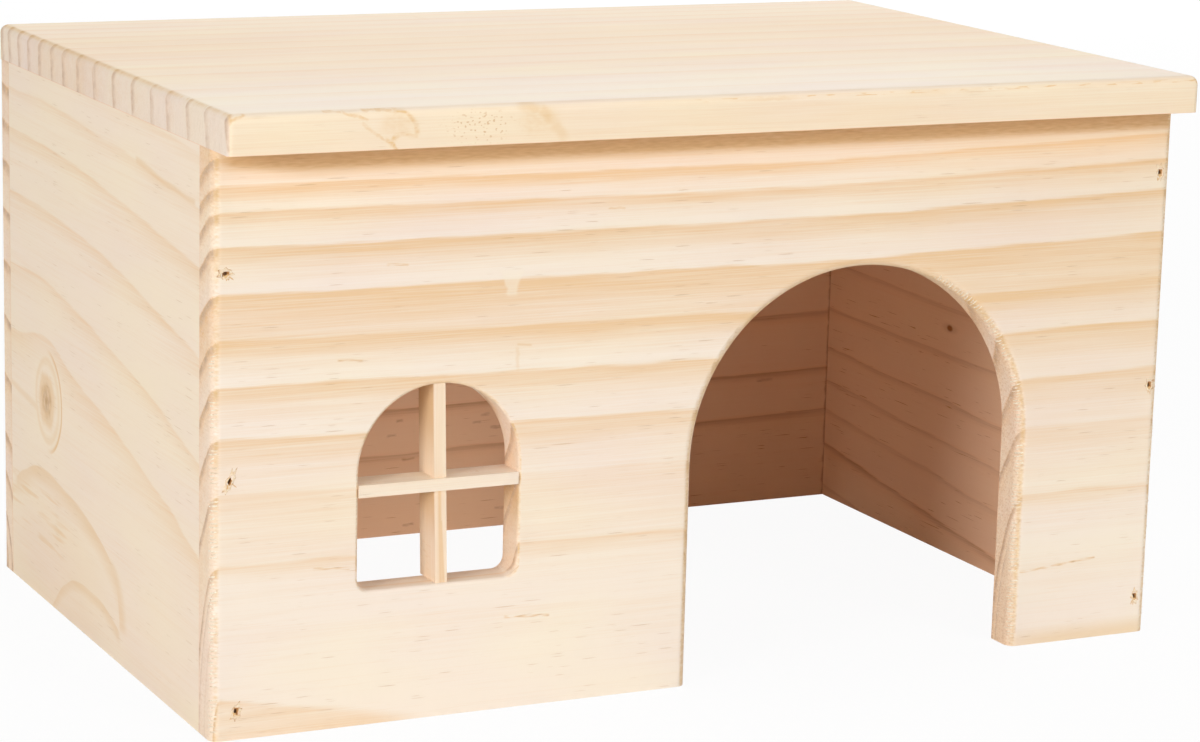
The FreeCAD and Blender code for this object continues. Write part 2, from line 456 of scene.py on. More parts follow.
def knot_marks(board, knot):
    """A knot on the face: orange and brown rings about a heart, and pale wood round it."""
    reach = board.reach(knot, knot[2], knot[2]) + board.noise(3, 5, 2, 43) * 0.22
    ring = (reach * 15).apply("SINE") * 0.5 + 0.5
    orange = reach.step(1.25, 0.7) * (ring * 0.2 + 0.5)
    brown = reach.step(0.95, 0) * (board.noise(1.2, 2.4, 2, 47) * 0.9 + 0.5) * 0.85
    return orange, brown.at_least(0), reach.step(2.2, 1.3) * reach.step(1.1, 1.4) * 0.4


def grown_rings(seed, first, last, narrow=5, wide=9, faint=0.05, strong=0.16):
    """Growth rings from first to last, of uneven width and darkness."""
    chance = random.Random(seed)
    rings = [(first, 0, 0)]
    while rings[-1][0] < last:
        edge = rings[-1][0] + chance.uniform(narrow, wide)
        rings.append((edge, chance.uniform(0.02, 0.2), chance.uniform(faint, strong)))
    return rings


# ---- the front panel's figure

# The rings, by the height of each dark edge at the panel's left side, and how dark the ring starts and
# ends. The log's centre is in front of the panel, at the floor's height.
FRONT_RINGS = [
    (-30, 0, 0), (-6, 0.2, 0.4), (11.8, 0.15, 0.5), (30.3, 0, 0.08), (40, 0, 0.1),
    (45.5, 0.05, 0.62), (63.5, 0.16, 0.45), (77.3, 0.12, 0.72), (90.2, 0.02, 0.9), (101.6, 0.04, 1),
    (113.8, 0.48, 1), (125.2, 0.02, 0.92), (133.6, 0, 0.92), (140.2, 0.12, 1.05),
    # The last two rings are real, but made darker here to paint part of the shade under the roof.
    (146.9, 0.3, 1), (170, 0.5, 0.9),
]
FRONT_PITH = 85  # from the log's centre to the panel's face, at the left side
FRONT_PITH_DRIFT = 2.1  # how much further off it is at the right side
FRONT_FLARE = 0.027  # the share of their height that the rings rise by at the right side
FRONT_DASHES = [  # resin canals that lie open in the face, along from its left side
    ((27, 42.6), (37, 41.8)), ((80, 24.6), (93, 23.8)), ((237, 21.2), (262, 23.4)),
    ((46, 119.3), (52, 118.9)), ((33, 95.8), (40, 95.3)), ((107, 130.6), (112, 130.2)),
]
POCKET = (LEFT + 80.5, 109.4)  # the tip of a pale tooth that reaches down into a dark band
HOOK = (LEFT + 82.4, 88.5, 96.6)  # a small hooked resin mark: x, lowest and highest
EAVE_SHADE = (144.6, 147.9)  # painted shade under the roof: where the panel darkens, at its left side
EAVE_SHADE_GROWTH = 2.3  # how much lower that reaches to the right of it
# Warmer parts, by kind of surface: how strong each is, and where it fades in or out along and up the panel.
WARMER = [
    ("face", 0.17, [(20, 110)], [(40, 90)]),
    ("cut", 0.32, [(80, 92)], [(45, 5)]),  # the doorway's right side, near the floor
    ("cut", 0.22, [(52, 66), (92, 80)], []),  # the arch above it
    ("round_over", 0.5, [(60, 78), (110, 100)], []),  # the round-over in front of both
    ("round_over", 0.5, [(-14, -9), (40, 15)], []),  # and of the doorway's left side
]
FOOT_BAND = ((60, 115), (6, 1))  # a dark ring at the foot, along and up
UNDER_RAIL_SHADE = ([(-60, -58), (-50, -52)], [(60.5, 60)])  # painted shade on the window's side under its rail


def front_growth(board):
    rise = board.across + stray(board, 1.3, 0.9, 0.6)
    rightward = (board.along / RIGHT).at_least(0).apply("POWER", 1.5)
    rise = rise - rightward * rise * FRONT_FLARE
    drift = ((board.along - LEFT) / (RIGHT - LEFT)).at_least(0).apply("SQRT") * FRONT_PITH_DRIFT
    return ring_height(rise, (board.deep - FRONT) + drift + FRONT_PITH, FRONT_PITH)


def front_hook(board, wander):
    """The hooked resin mark: a faint upright stroke, and a short bar at its top."""
    foot, low, high = HOOK
    upright = (board.along.plus(wander, 0.5) - foot).size().step(0.8, 0.1)
    upright = upright * board.across.step(low, low + 3) * board.across.step(high, high - 1.5)
    bar = board.stroke((foot - 0.3, high), (foot + 4, high - 0.5), 0.5)
    return (upright * 0.28).at_least(bar * 0.5)


def front_pocket(board, wander):
    """The pale tooth, which widens upwards."""
    up = board.across - POCKET[1]
    aside = (board.along.plus(wander, 0.7) - POCKET[0]).size()
    return aside.plus(up * up, -0.05).step(1.9, 0.8) * up.step(-0.8, 0.8) * up.step(7.5, 5.5) * 0.55


def front_eave_shade(board, broken):
    """Painted shade under the roof, fainter on the round-over at the left side."""
    height = board.across + board.along.step(LEFT - 12, LEFT + 28) * EAVE_SHADE_GROWTH
    starts = board.along.step(LEFT + 0.5, LEFT + 6) * 0.65 + 0.35
    return height.step(*EAVE_SHADE) * (broken * 0.2 + 0.9) * starts


def front_marks(board):
    """The front panel's marks, with painted shade under the roof and under the window's rail: how orange,
    how brown and how pale.
    """
    face = board.deep.step(FRONT + 3.5, FRONT + 2.5)
    wander = board.noise(3, 2, 1, 35)
    broken = board.noise(3.5, 0.5, 1, 37)
    dashes = board.dashes(FRONT_DASHES, 0.55, board.across.plus(wander, 0.2), LEFT)
    dashes = dashes * broken.step(-0.35, 0.25)
    # Painted shade under the roof, as orange, and as brown nearest the roof.
    eave_shade = front_eave_shade(board, broken)
    foot_band = board.along.step(*FOOT_BAND[0]) * board.across.plus(wander, 0.3).step(*FOOT_BAND[1]) * 0.5
    # Painted shade on the window's right side, under its rail, as orange and brown.
    under_rail_shade = board.across.plus(wander, 2).step(44, 58) * board.end * board.stretch(*UNDER_RAIL_SHADE)
    kinds = {"face": face, "cut": board.cut, "round_over": board.round_over}
    orange = [kinds[kind] * board.stretch(run, rise) * share for kind, share, run, rise in WARMER]
    orange.append(strongest([front_hook(board, wander), dashes * 0.75, eave_shade, foot_band]) * face)
    # Painted shade under the window's rail, and under the roof on the panel's left end.
    orange += [under_rail_shade * 0.7, eave_shade * board.end * 0.5]
    brown = (dashes * broken.step(0.15, 0.6) * 0.45).at_least(eave_shade * eave_shade * 0.5) * face
    return strongest(orange), brown.at_least(under_rail_shade * 0.22), front_pocket(board, wander) * face


# ---- the back panel's figure

# The rings, by the height of each dark edge at the panel's left side, in the middle of its thickness.
BACK_RINGS = [
    (-20, 0, 0), (0, 0, 0.4), (13.5, 0.05, 0.6), (27.3, 0.05, 0.75), (39.7, 0.05, 0.8),
    (57.7, 0.1, 0.8), (75.5, 0.1, 0.75), (91.5, 0.05, 0.85), (107, 0.1, 0.85), (121, 0.1, 0.8),
    (132.5, 0.1, 0.9), (142.7, 0.15, 1), (152, 0.2, 1), (175, 0.2, 1),
]
BACK_PITH = 17  # from the log's centre, behind the house, to the panel's face
BACK_SLOPE = 0.021  # how the rings rise to the right, seen from the front
BACK_KNOT = (-52, 96, 6, 14)
BACK_DASHES = [  # resin canals that lie open in the inner face
    ((-17.5, 23.9), (-13, 23.8)), ((-17, 3), (-13, 2.9)), ((12, 31.7), (16, 31.5)),
    ((14, 5.9), (18, 5.8)), ((105, 39.8), (111, 39.7)), ((-19.5, 36.2), (-17, 36)),
    ((-22.5, 31.5), (-19.2, 31.7)), ((8.7, 35.8), (12, 36)), ((6, 33.6), (9, 33.5)),
]
BACK_CORNER_SHADE = (RIGHT_INSIDE - 0.9, RIGHT_INSIDE - 0.1)  # painted shade: a dark line in the room's right corner
BACK_GOLDEN = (70, -10)  # along the panel: where its inner face is more golden


def back_growth(board):
    rise = board.across - (board.along - LEFT) * BACK_SLOPE + stray(board, 1.3, 0.8, 0.5)
    rise = rise - swelling(board, BACK_KNOT)
    middle = BACK_PITH + (BACK - BACK_INSIDE) / 2
    return ring_height(rise, BACK_PITH + BACK - board.deep, middle)


def back_marks(board):
    """The back panel's knot, and its inner face's resin canals and the painted shade in its right corner.
    """
    inner = board.deep.step(BACK_INSIDE + 1, BACK_INSIDE + 0.5)
    bent = board.across.plus(board.noise(3, 2, 1, 35), 0.5)
    dashes = board.dashes(BACK_DASHES, 0.7, bent) * (board.noise(2.5, 0.5, 1, 37) * 0.8 + 0.6) * 0.5
    # Painted shade in the room's right corner.
    corner = board.along.plus(board.noise(5, 5, 2, 39), 0.9).step(*BACK_CORNER_SHADE) * 0.55
    orange, heart, pale = knot_marks(board, BACK_KNOT)
    golden = board.along.step(*BACK_GOLDEN) * inner * 0.12
    return orange.at_least(golden), (dashes.at_least(corner) * inner).at_least(heart), pale


# ---- the side walls' figure

# The rings, by the height of each dark edge at the back.
LEFT_RINGS = [
    (40, 0, 0), (72.3, 0, 0.42), (91.3, 0, 0.38), (112.6, 0, 0.46), (130.6, 0, 0.44),
    (142.8, 0, 0.32), (153, 0, 0.3), (190, 0, 0.3),
]
LEFT_KNOT = (52.3, 58.8, 7.6, 17)
LEFT_SHELL = ((LEFT_KNOT[0] - 0.6, LEFT_KNOT[1]), 13.4, 14.6)  # the knot's shell: centre, length and height
LEFT_LEVEL = 25  # from the back to where the rings start to fall
LEFT_RUN = 146  # from there to the front
LEFT_FALL = 47  # how far they fall over that, before they spread
LEFT_SPREAD = 0.27  # how much further apart the rings are at the front
# Where the saw ran along a ring: places (from the back, up), how far the line fades beneath and above
# it, and whether it runs upright
LEFT_ARCH = [
    ([(107, 20), (96, 27.8), (80, 32.5), (60, 36), (40, 37.6), (22, 33.5), (12, 28)], 8, 0.9, False),
    ([(108, 9), (107.4, 15), (104, 22), (97, 27.5)], 0.9, 7, True),
    ([(108, 8.5), (98, 11.5), (86, 13.5), (72, 13), (60, 9), (50, 2.5), (46, -1)], 5, 0.8, False),
]
# Fainter ellipses (centre, length, height, strength) and strokes (start, end, width, strength)
LEFT_WISPS = ((34, 24), 46, 17, 0.6)
LEFT_FILL = ((50, 12), 62, 26, 0.14)
LEFT_STROKES = [((8, 57.5), (36, 54.5), 1.6, 0.35), ((122, 139.2), (168, 134.8), 1.3, 0.4)]


def from_back(place):
    """A place along a side wall, from its distance from the back and its height."""
    return BACK - place[0], place[1]


def left_growth(board):
    """The grain falls towards the front, and swells round the knot."""
    fall = ((BACK - board.along - LEFT_LEVEL) / LEFT_RUN).at_least(0).apply("POWER", 1.7)
    rise = board.across + stray(board, 1, 1.2, 0.7) - swelling(board, LEFT_KNOT)
    return (rise + fall * LEFT_FALL) / (fall * LEFT_SPREAD + 1)


def left_knot(board):
    """The knot, with a thin shell on its front side and a halo inside that."""
    orange, brown, pale = knot_marks(board, LEFT_KNOT)
    reach = board.reach(*LEFT_SHELL) + board.noise(9, 9, 1, 51) * 0.03
    front_side = ((LEFT_KNOT[0] - board.along) / 10).step(-0.1, 0.9)
    shell = reach.step(0.9, 0.99) * reach.step(1.04, 1) * front_side
    halo = reach.step(0.62, 0.8) * reach.step(0.9, 0.8)
    return strongest([orange, shell * 0.85, halo * 0.3]), brown, pale


def left_marks(board):
    """The left wall's knot, and the nested arches where the saw ran along a ring."""
    orange, brown, pale = left_knot(board)
    bent = board.across.plus(board.noise(30, 12, 2, 53), 1.3)

    def faint(centre, length, height, strength):
        return board.spot(from_back(centre), length, height, bent) * strength

    lines = [
        board.trace([from_back(place) for place in points], beneath, above, upright, bent) * 0.5
        for points, beneath, above, upright in LEFT_ARCH
    ]
    lines += [
        board.stroke(from_back(start), from_back(end), width, bent) * strength
        for start, end, width, strength in LEFT_STROKES
    ]
    lines.append(board.noise(26, 2.2, 2, 61).step(-0.05, 0.4) * faint(*LEFT_WISPS))
    lines.append(faint(*LEFT_FILL))
    broken = board.noise(25, 3, 2, 59) * 0.5 + 0.85
    return orange.at_least(strongest(lines) * broken), brown, pale


RIGHT_RINGS = [
    (-20, 0, 0), (3, 0, 0.4), (16.7, 0.05, 0.9), (28.3, 0, 0.36), (38.5, 0, 0.42),
    (49.3, 0.05, 0.45), (62.4, 0, 0.5), (77, 0.05, 0.42), (92, 0, 0.55), (108, 0.05, 0.45),
    (124, 0, 0.6), (138, 0.05, 0.5), (152, 0.1, 0.6), (190, 0.1, 0.6),
]
RIGHT_SLOPE = 0.125  # how steeply the rings fall towards the front, at the floor's height
RIGHT_SLOPE_DROP = -0.0019  # how that changes with each millimetre up
RIGHT_KNOT = (-18, 104, 5, 13)  # on the outer face
RIGHT_PIN = (12.8, 69.4)  # a pin knot on the inner face


def right_growth(board):
    slope = (board.across * RIGHT_SLOPE_DROP + RIGHT_SLOPE).at_least(0.01)
    fall = (BACK_INSIDE - board.along) * slope
    return board.across + fall + stray(board, 1.4, 0.9, 0.55) - swelling(board, RIGHT_KNOT)


def right_marks(board):
    """The right wall's knot outside, and its pin knot inside."""
    orange, brown, pale = knot_marks(board, RIGHT_KNOT)
    outer = board.deep.step(RIGHT - 1.5, RIGHT - 0.5)
    inner = board.deep.step(RIGHT_INSIDE + 1.5, RIGHT_INSIDE + 0.5)
    pin = board.spot(RIGHT_PIN, 2.2, 1.3) * 0.8 + board.spot(RIGHT_PIN, 6, 2) * 0.2
    return orange * outer, (brown * outer).at_least(pin * inner), pale * outer


# ---- the roof's figure

# The rings stand on edge. Each is given by how far its dark edge is behind the roof's front.
ROOF_RINGS = [
    (-8, 0, 0.2), (2, 0, 0.25), (17, 0, 0.15), (30.4, 0, 0.22), (46, 0, 0.28),
    (58, 0, 0.16), (73, 0.05, 0.3), (88, 0.05, 0.34), (104, 0.08, 0.4), (118, 0.1, 0.42),
    (131, 0.1, 0.4), (142, 0.08, 0.36), (153, 0.05, 0.34), (163, 0.02, 0.3),
    (172.2, 0, 0.32), (181.6, 0, 0.28), (188.7, 0, 0.3), (202, 0, 0.3),
]
ROOF_PITH = (109, 27)  # the log's centre, in front of the roof and above its underside
# The resin mark on the front edge, along from the left end and up: start, end, width and strength
ROOF_HOOK = [
    ((24.6, 160), (29.6, 159.5), 0.4, 0.55), ((29.6, 159.6), (36.2, 157.6), 0.6, 0.75),
    ((34.7, 159.6), (38.5, 159.8), 0.5, 0.55), ((38, 159.8), (43, 159.5), 0.6, 0.75),
    ((42.6, 159.6), (46.8, 158.7), 0.8, 0.75), ((46.2, 158.8), (49, 156.2), 1.1, 0.75),
    ((48.6, 156.6), (49.2, 153.4), 1.1, 0.7), ((49.4, 153.2), (44.2, 153.8), 0.9, 0.6),
    ((44.6, 153.8), (42, 152.2), 1, 0.7), ((40.6, 152.8), (43, 151.2), 1, 0.95),
    ((42.6, 151.5), (44.3, 148.8), 0.7, 0.75), ((34.5, 156.9), (37.6, 154.4), 0.7, 0.45),
    ((37.3, 154.6), (40.8, 152.2), 0.6, 0.45), ((0.5, 158.6), (5, 159.8), 0.5, 0.7),
]
ROOF_BAND = [((76, 159.8), (82.5, 158.9)), ((82, 159), (85.7, 155.2)), ((85.7, 155.2), (89.5, 150.5))]
# Ellipses: centre, length and height.
ROOF_BLOB = ((LEFT + 44, 156.4), 6.5, 3.8)
ROOF_BAND_BLOB = ((LEFT + 82, 155.6), 7, 5)
ROOF_STIPPLE = ((LEFT + 66, 154.8), 12.5, 5.4)
ROOF_DASHES = (158.8, LEFT + 118, LEFT + 130)  # a row of resin dashes: height, and where it starts
ROOF_GLOW = (158.6, LEFT + 110, LEFT + 140)  # warmer patches along the top: the same
# The warmer stripe across the top, by its distance from the back, and how it grows to the sides.
ROOF_STRIPE = ((28, 42), (92, 76))
ROOF_SPECK = ((LEFT + 124, BACK - 15), 1.6, 8)


def roof_growth(board):
    away = (board.deep - ROOF_LOW.z) - ROOF_PITH[1]
    behind = board.across - (ROOF_LOW.y - ROOF_PITH[0]) + stray(board, 2.2, 0.7, 0.35)
    return (behind * behind + away * away).apply("SQRT") - math.hypot(*ROOF_PITH) + 2


def roof_edge_marks(board):
    """How orange the roof's front edge is, and the stipple on it."""
    height = board.deep.plus(board.noise(3, 4, 2, 67, 1.2), 0.8)
    mottle = board.noise(1.6, 1.6, 1, 69, 0.9) * 0.9 + 0.85
    hook = strongest([
        board.stroke((LEFT + start[0], start[1]), (LEFT + end[0], end[1]), width, height) * strength
        for start, end, width, strength in ROOF_HOOK
    ])
    blob = board.spot(*ROOF_BLOB, height)
    band = board.dashes(ROOF_BAND, 2.2, height, LEFT) * 0.36
    band = band + board.spot(*ROOF_BAND_BLOB, height) * mottle * 0.25
    level, start, whole = ROOF_DASHES
    dashes = (board.deep - level).size().step(0.45, 0.15) * board.along.step(start, whole)
    dashes = dashes * board.noise(4, 6, 1, 75, 0.6).step(0.12, 0.35)
    stipple = board.noise(0.85, 0.85, 0, 71, 0.5).step(0.26, 0.48) * board.spot(*ROOF_STIPPLE, height)
    level, start, whole = ROOF_GLOW
    glow = (height - level).size().step(0.8, 0.2) * board.along.step(start, whole)
    glow = glow * board.noise(22, 22, 1, 73, 22).step(0, 0.5)
    orange = [hook * mottle, blob * mottle * 0.28, band, dashes * 0.8, stipple * 0.6, glow * 0.3]
    return strongest(orange), stipple


def roof_marks(board):
    """The marks on the roof's front edge, and the warmer stripe and the speck on its top."""
    front = board.across.step(ROOF_LOW.y + 3.4, ROOF_LOW.y + 2.2)
    orange, stipple = roof_edge_marks(board)
    behind = BACK - board.across
    stripe = behind.step(*ROOF_STRIPE[0]) * behind.step(*ROOF_STRIPE[1])
    sides = (board.along / RIGHT).size().step(0.15, 0.8) * 0.6 + 0.4
    stripe = stripe * sides * (board.noise(120, 9, 2, 79) * 0.4 + 0.8)
    speck = board.spot(*ROOF_SPECK)
    return strongest([orange * front, stripe * 0.16, speck * 0.1]), stipple * front * 0.15, 0


# ---- the window bars' figure

BAR_FRONT = (FRONT + 1.8, FRONT + 1.1)  # how deep the planed front of the bars goes
POST_RIGHT = in_mm("window_post")[1].x
# The resin streaks on the post's front: start and end, by height and left of its foot, and width.
POST_STREAKS = [((34, 1.7), (60, 2.5), 0.7), ((34, 0.9), (52, 2), 0.6)]
POST_TOP_SHADE = (62, 82)  # heights where painted shade turns the post's sides browner, near the top
POST_UNDER_RAIL_SHADE = [(44, 59), (60.5, 60)]  # and under the rail


def bar_growth(board):
    return board.across * 0.35 + board.deep * 0.9 + stray(board, 0.8, 0.3, 0.1) + 100


def bar_flecks(board, side):
    """Flecks across the bars' sawn sides, where the saw ran along the rays."""
    flecks = board.noise(0.35, 2.6, 1, 83) * board.noise(12, 3, 1, 89).step(-0.3, 0.6)
    return flecks.step(0.05, 0.4) * side * 0.3


def bar_marks(board):
    return bar_flecks(board, 1 - board.deep.step(*BAR_FRONT)), 0, 0


def post_marks(board):
    """The post's flecks, the resin streaks on its front, and painted shade on its sides."""
    front = board.deep.step(*BAR_FRONT)
    side = 1 - front
    streaks = strongest([
        board.stroke((start[0], POST_RIGHT - start[1]), (end[0], POST_RIGHT - end[1]), width)
        for start, end, width in POST_STREAKS
    ])
    # Painted shade on the post's sides, under the window's top and under the rail.
    shaded = board.along.step(*POST_TOP_SHADE).at_least(board.stretch(POST_UNDER_RAIL_SHADE)) * side
    orange = strongest([bar_flecks(board, side), streaks * front * 0.6, shaded * 0.68])
    return orange, shaded * 0.17, 0


# ---- the boards

# inside: through the board, where its unsanded inner face starts and where it is
# fade, soft: as in Board.rings; canals, line: how plain resin canals are, and rings' edges on cut ends
# tint, end: what the colours of the board and of its cut ends are multiplied by
# torn, pits: how torn the round-overs are, and how pitted the cuts are, to the left and to the right
# worn: across the roof's top, from where it takes the back's darker tint to where it takes the front's
# paler tint
MOST_BOARDS = {
    "inside": None, "fade": 6, "soft": 1, "canals": 0.24, "line": 0.62, "tint": PLAIN, "end": END,
    "torn": 0.3, "pits": (0.14, 0.14), "worn": None,
}


def wood(axes, seed, growth, marks, rings, **differences):
    """A board's axes along, across and through it, its figure, and how it differs from most boards."""
    figure = {"axes": axes, "seed": seed, "growth": growth, "marks": marks, "rings": rings}
    return {**MOST_BOARDS, **figure, **differences}


BOARDS = {
    "front_panel": wood(
        "XZY", 0, front_growth, front_marks, FRONT_RINGS, inside=(FRONT_INSIDE - 0.2, FRONT_INSIDE),
        fade=2.2, soft=1.1, canals=0.5, line=0.72, pits=(0.16, 0.4),
    ),
    "back_panel": wood(
        "XZY", 20, back_growth, back_marks, BACK_RINGS, inside=(BACK_INSIDE + 0.2, BACK_INSIDE),
        fade=4.5, soft=1.1, canals=0.5,
    ),
    "left_wall": wood(
        "YZX", 40, left_growth, left_marks, LEFT_RINGS, inside=(LEFT_INSIDE - 0.2, LEFT_INSIDE),
        canals=0.36, tint=LEFT_TINT,
    ),
    "right_wall": wood(
        "YZX", 60, right_growth, right_marks, RIGHT_RINGS, inside=(RIGHT_INSIDE + 0.2, RIGHT_INSIDE),
        fade=5, canals=0.4,
    ),
    "roof_panel": wood(
        "XYZ", 80, roof_growth, roof_marks, ROOF_RINGS, inside=(ROOF_LOW.z + 0.2, ROOF_LOW.z),
        fade=3, soft=0.8, line=0.44, tint=ROOF_TINT, end=ROOF_END, torn=0.4, pits=(0.06, 0.06),
        worn=(ROOF_LOW.y + 75, ROOF_LOW.y + 15),
    ),
    "window_rail": wood(
        "XZY", 100, bar_growth, bar_marks, grown_rings(12, 30, 70), tint=BAR_TINT,
    ),
    "window_post": wood(
        "ZXY", 120, bar_growth, post_marks, grown_rings(13, -25, 30), tint=POST_TINT,
    ),
}
PITS_GROW = (30, 70)  # along the panel: from few pits to many
UPWARD = (0.6, 0.9)  # how far a face's normal points up on the roof's top
FIBRE_HEIGHT, RING_HEIGHT, PIT_HEIGHT, CANAL_DEPTH = 0.015, 0.02, 0.28, 0.05  # how high the figure stands


def grain(board, look):
    """How dark the wood is, the marks on its rings' edges, and its fibres and clouds."""
    dark, edge = board.rings(look["growth"](board), look["rings"], look["fade"], look["soft"])
    fibres = board.noise(32, 0.4, 3, 11)
    streaks = board.noise(110, 2.4, 2, 13)
    clouds = board.noise(60, 20, 1, 17)
    lines = board.noise(17, 0.38, 1, 15).step(0.22, 0.62)
    dark = dark * (streaks * 0.4 + fibres * 0.5 + 1)
    dark = dark + fibres * 0.2 + lines * 0.16 + streaks * 0.12 + clouds * 0.08
    return dark.at_least(0), edge, fibres, clouds


def marked(board, look, color, inside):
    """A colour with the board's own marks and its resin canals, and those canals.

    The canals lie open as short thin dashes along the grain, here dense and there none.
    """
    canals = board.noise(8, 0.3, 0, 19) + board.noise(34, 9, 1, 23) * 0.22
    canals = canals.step(0.55, 0.7) * (1 - board.end)
    orange, brown, pale = look["marks"](board)
    color = board.mix(pale, color, GOLD)
    color = board.mix(orange, color, OCHRE)
    color = board.mix(canals * (inside * 0.5 + look["canals"]), color, CANAL)
    return board.mix(brown, color, BROWN), canals


def cut_and_torn(board, look, color, edge):
    """A colour with its cut ends and torn round-overs, and how high those stand.

    Cut ends are greyer, with each ring's edge as a line. Round-overs are torn, and both are pored.
    """
    pores = board.noise(1.6, 0.55, 2, 29)
    rays = board.noise(3, 3, 2, 31)
    ridges = board.noise(6, 0.75, 1, 34, 4)
    lines = edge * (rays * 0.8 + look["line"]) + rays * 0.1
    ends = board.mix(lines, board.tinted(color, look["end"]), END_LINE)
    color = board.mix(board.end, board.tinted(color, look["tint"]), ends)
    torn = board.noise(14, 7, 1, 33) * 0.6 + edge * 0.5 + ridges * 0.9 + look["torn"]
    color = board.mix((board.round_over * torn).at_least(0), color, OCHRE)
    color = board.mix(board.round_over * edge * 0.45, color, TORN)
    few, many = look["pits"]
    pitted = board.cut * (board.along.step(*PITS_GROW) * (many - few) + few)
    color = board.mix(pitted * pores.step(0, 0.35), color, TORN)
    color = board.mix(pitted * pores.step(-0.12, -0.4), color, PALE)
    return color, pitted * pores + board.cut * ridges * 0.5


def pine_figure(board, look):
    """The wood's colour, how high its surface stands in millimetres, and its fibres."""
    dark, edge, fibres, clouds = grain(board, look)
    inside = board.deep.step(*look["inside"]) if look["inside"] else 0
    color = board.mix(clouds * 1.2 + 0.5, GOLD, ROSE)
    color = board.mix(dark, color, TAN)
    color = board.mix(inside * 0.5, color, ROSE)
    color, canals = marked(board, look, color, inside)
    color, rough = cut_and_torn(board, look, color, edge)
    if look["worn"]:
        worn = board.mix(board.across.step(*look["worn"]), ROOF_TOP_BACK_TINT, ROOF_TOP_FRONT_TINT)
        color = board.tinted(color, worn, board.normal[2].step(*UPWARD))
    line = edge * edge * edge * dark * 0.6
    # Inner faces take the unsanded tint, which is partly painted shade, and darker ring edges.
    color = board.mix(inside, color, board.mix(line, board.tinted(color, UNSANDED_AND_SHADE), INSIDE_LINE))
    height = fibres * FIBRE_HEIGHT + dark * RING_HEIGHT + rough * PIT_HEIGHT - canals * CANAL_DEPTH
    return color, height, fibres


def dress_shader(tree, color, roughness, setting, amount):
    """The tree's shader, with a colour, a roughness and one more setting."""
    shader = tree.nodes["Principled BSDF"]
    link(tree, color, shader.inputs["Base Color"])
    link(tree, roughness.socket, shader.inputs["Roughness"])
    shader.inputs[setting].default_value = amount
    return shader


def pine(name):
    """The material of one board."""
    look = BOARDS[name]
    material, tree = new_material("pine_" + name)
    board = Board(tree, look["axes"], look["seed"])
    color, height, fibres = pine_figure(board, look)
    roughness = board.end * 0.15 + fibres * 0.05 + 0.62
    shader = dress_shader(tree, color, roughness, "Specular IOR Level", 0.2)
    bump = tree.nodes.new("ShaderNodeBump")
    bump.inputs["Distance"].default_value = MM
    link(tree, height.socket, bump.inputs["Height"])
    link(tree, bump.outputs[0], shader.inputs["Normal"])
    return material


def steel():
    """The brads: dull wire, brown in patches."""
    material, tree = new_material("brad_steel")
    board = Board(tree, "YZX", 140)
    patches = board.noise(1.5, 0.6, 2, 1) * 0.9 + 0.5
    dress_shader(tree, board.mix(patches, BRAD_BROWN, BRAD_GREY), patches * 0.2 + 0.45, "Metallic", 0.6)
    return material


RUSTED = (-0.08, 0.06)  # how deep under the face the wood round a brad turns to rust
BROWNED = (0.3, 0.9)  # and to brown


def torn_pine(name, pale=GOLD, dark=OCHRE, share=0.4, face=None, into=1):
    """Torn fibres. Those round a brad turn to rust and brown from the face down into its hole."""
    material, tree = new_material(name)
    board = Board(tree, "XZY", 160)
    color = board.mix(board.noise(2.5, 0.5, 1, 1) * 0.9 + share, pale, dark)
    if face is not None:
        wavy = board.deep.plus(board.noise(0.8, 0.8, 1, 2), 0.08)
        color = board.mix(((wavy - face) * into).step(*RUSTED) * 0.95, color, RUST)
        color = board.mix(((board.deep - face) * into).step(*BROWNED), color, BROWN)
    dress_shader(tree, color, board.noise(1.5, 0.4, 1, 3) * 0.1 + 0.75, "Specular IOR Level", 0.15)
    return material


def dress_nodes():
    brads = steel()
    for name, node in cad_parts.items():
        node.data.materials.clear()
        node.data.materials.append(brads if name.endswith("brads") else pine(name))


# ---- torn wood

# The doorway's right side: straight from the floor, then half round.
DOOR_CENTRE, DOOR_RADIUS, DOOR_SPRING = 44.3, 50.45, 60.3
DOOR_ROUND, PANEL_ROUND = 2.75, 2.5  # round-overs of the doorway's edge and of the panel's


class Splinters:
    """Small bits of torn wood, gathered into one mesh."""

    def __init__(self):
        self.points = []
        self.faces = []

    def ridge(self, stations, side, width):
        """A raised fibre with a three-sided section, along stations of (point on the surface, top)."""
        first = len(self.points)
        for base, top in stations:
            sunk = base + (base - top).normalized() * 0.06
            self.points += [sunk - side * width / 2, top, sunk + side * width / 2]
        for index in range(len(stations) - 1):
            here = first + 3 * index
            for a, b in ((0, 1), (1, 2), (2, 0)):
                self.faces.append((here + a, here + b, here + b + 3, here + a + 3))
        last = first + 3 * (len(stations) - 1)
        self.faces += [(first, first + 2, first + 1), (last, last + 1, last + 2)]

    def piece(self, name, material):
        mesh = bpy.data.meshes.new(name)
        mesh.from_pydata([point * MM for point in self.points], [], self.faces)
        mesh.materials.append(material)
        piece = add_object(name, mesh)
        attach(piece, "root")


def straight_edge(x, distance, way):
    """A place up an upright edge, the way out to its side, and the way along it."""
    return Vector((x, FRONT, distance)), Vector((way, 0, 0)), Vector((0, 0, 1))


def door_edge(distance):
    """The same up the doorway's right edge, where the way out is into the opening."""
    if distance < DOOR_SPRING:
        return straight_edge(DOOR_CENTRE + DOOR_RADIUS, distance, -1)
    angle = (distance - DOOR_SPRING) / DOOR_RADIUS
    out = Vector((math.cos(angle), 0, math.sin(angle)))
    place = Vector((DOOR_CENTRE, FRONT, DOOR_SPRING)) + out * DOOR_RADIUS
    return place, -out, Vector((-math.sin(angle), 0, math.cos(angle)))


def left_edge(distance):
    return straight_edge(LEFT, distance, -1)


def right_edge(distance):
    return straight_edge(RIGHT, distance, 1)


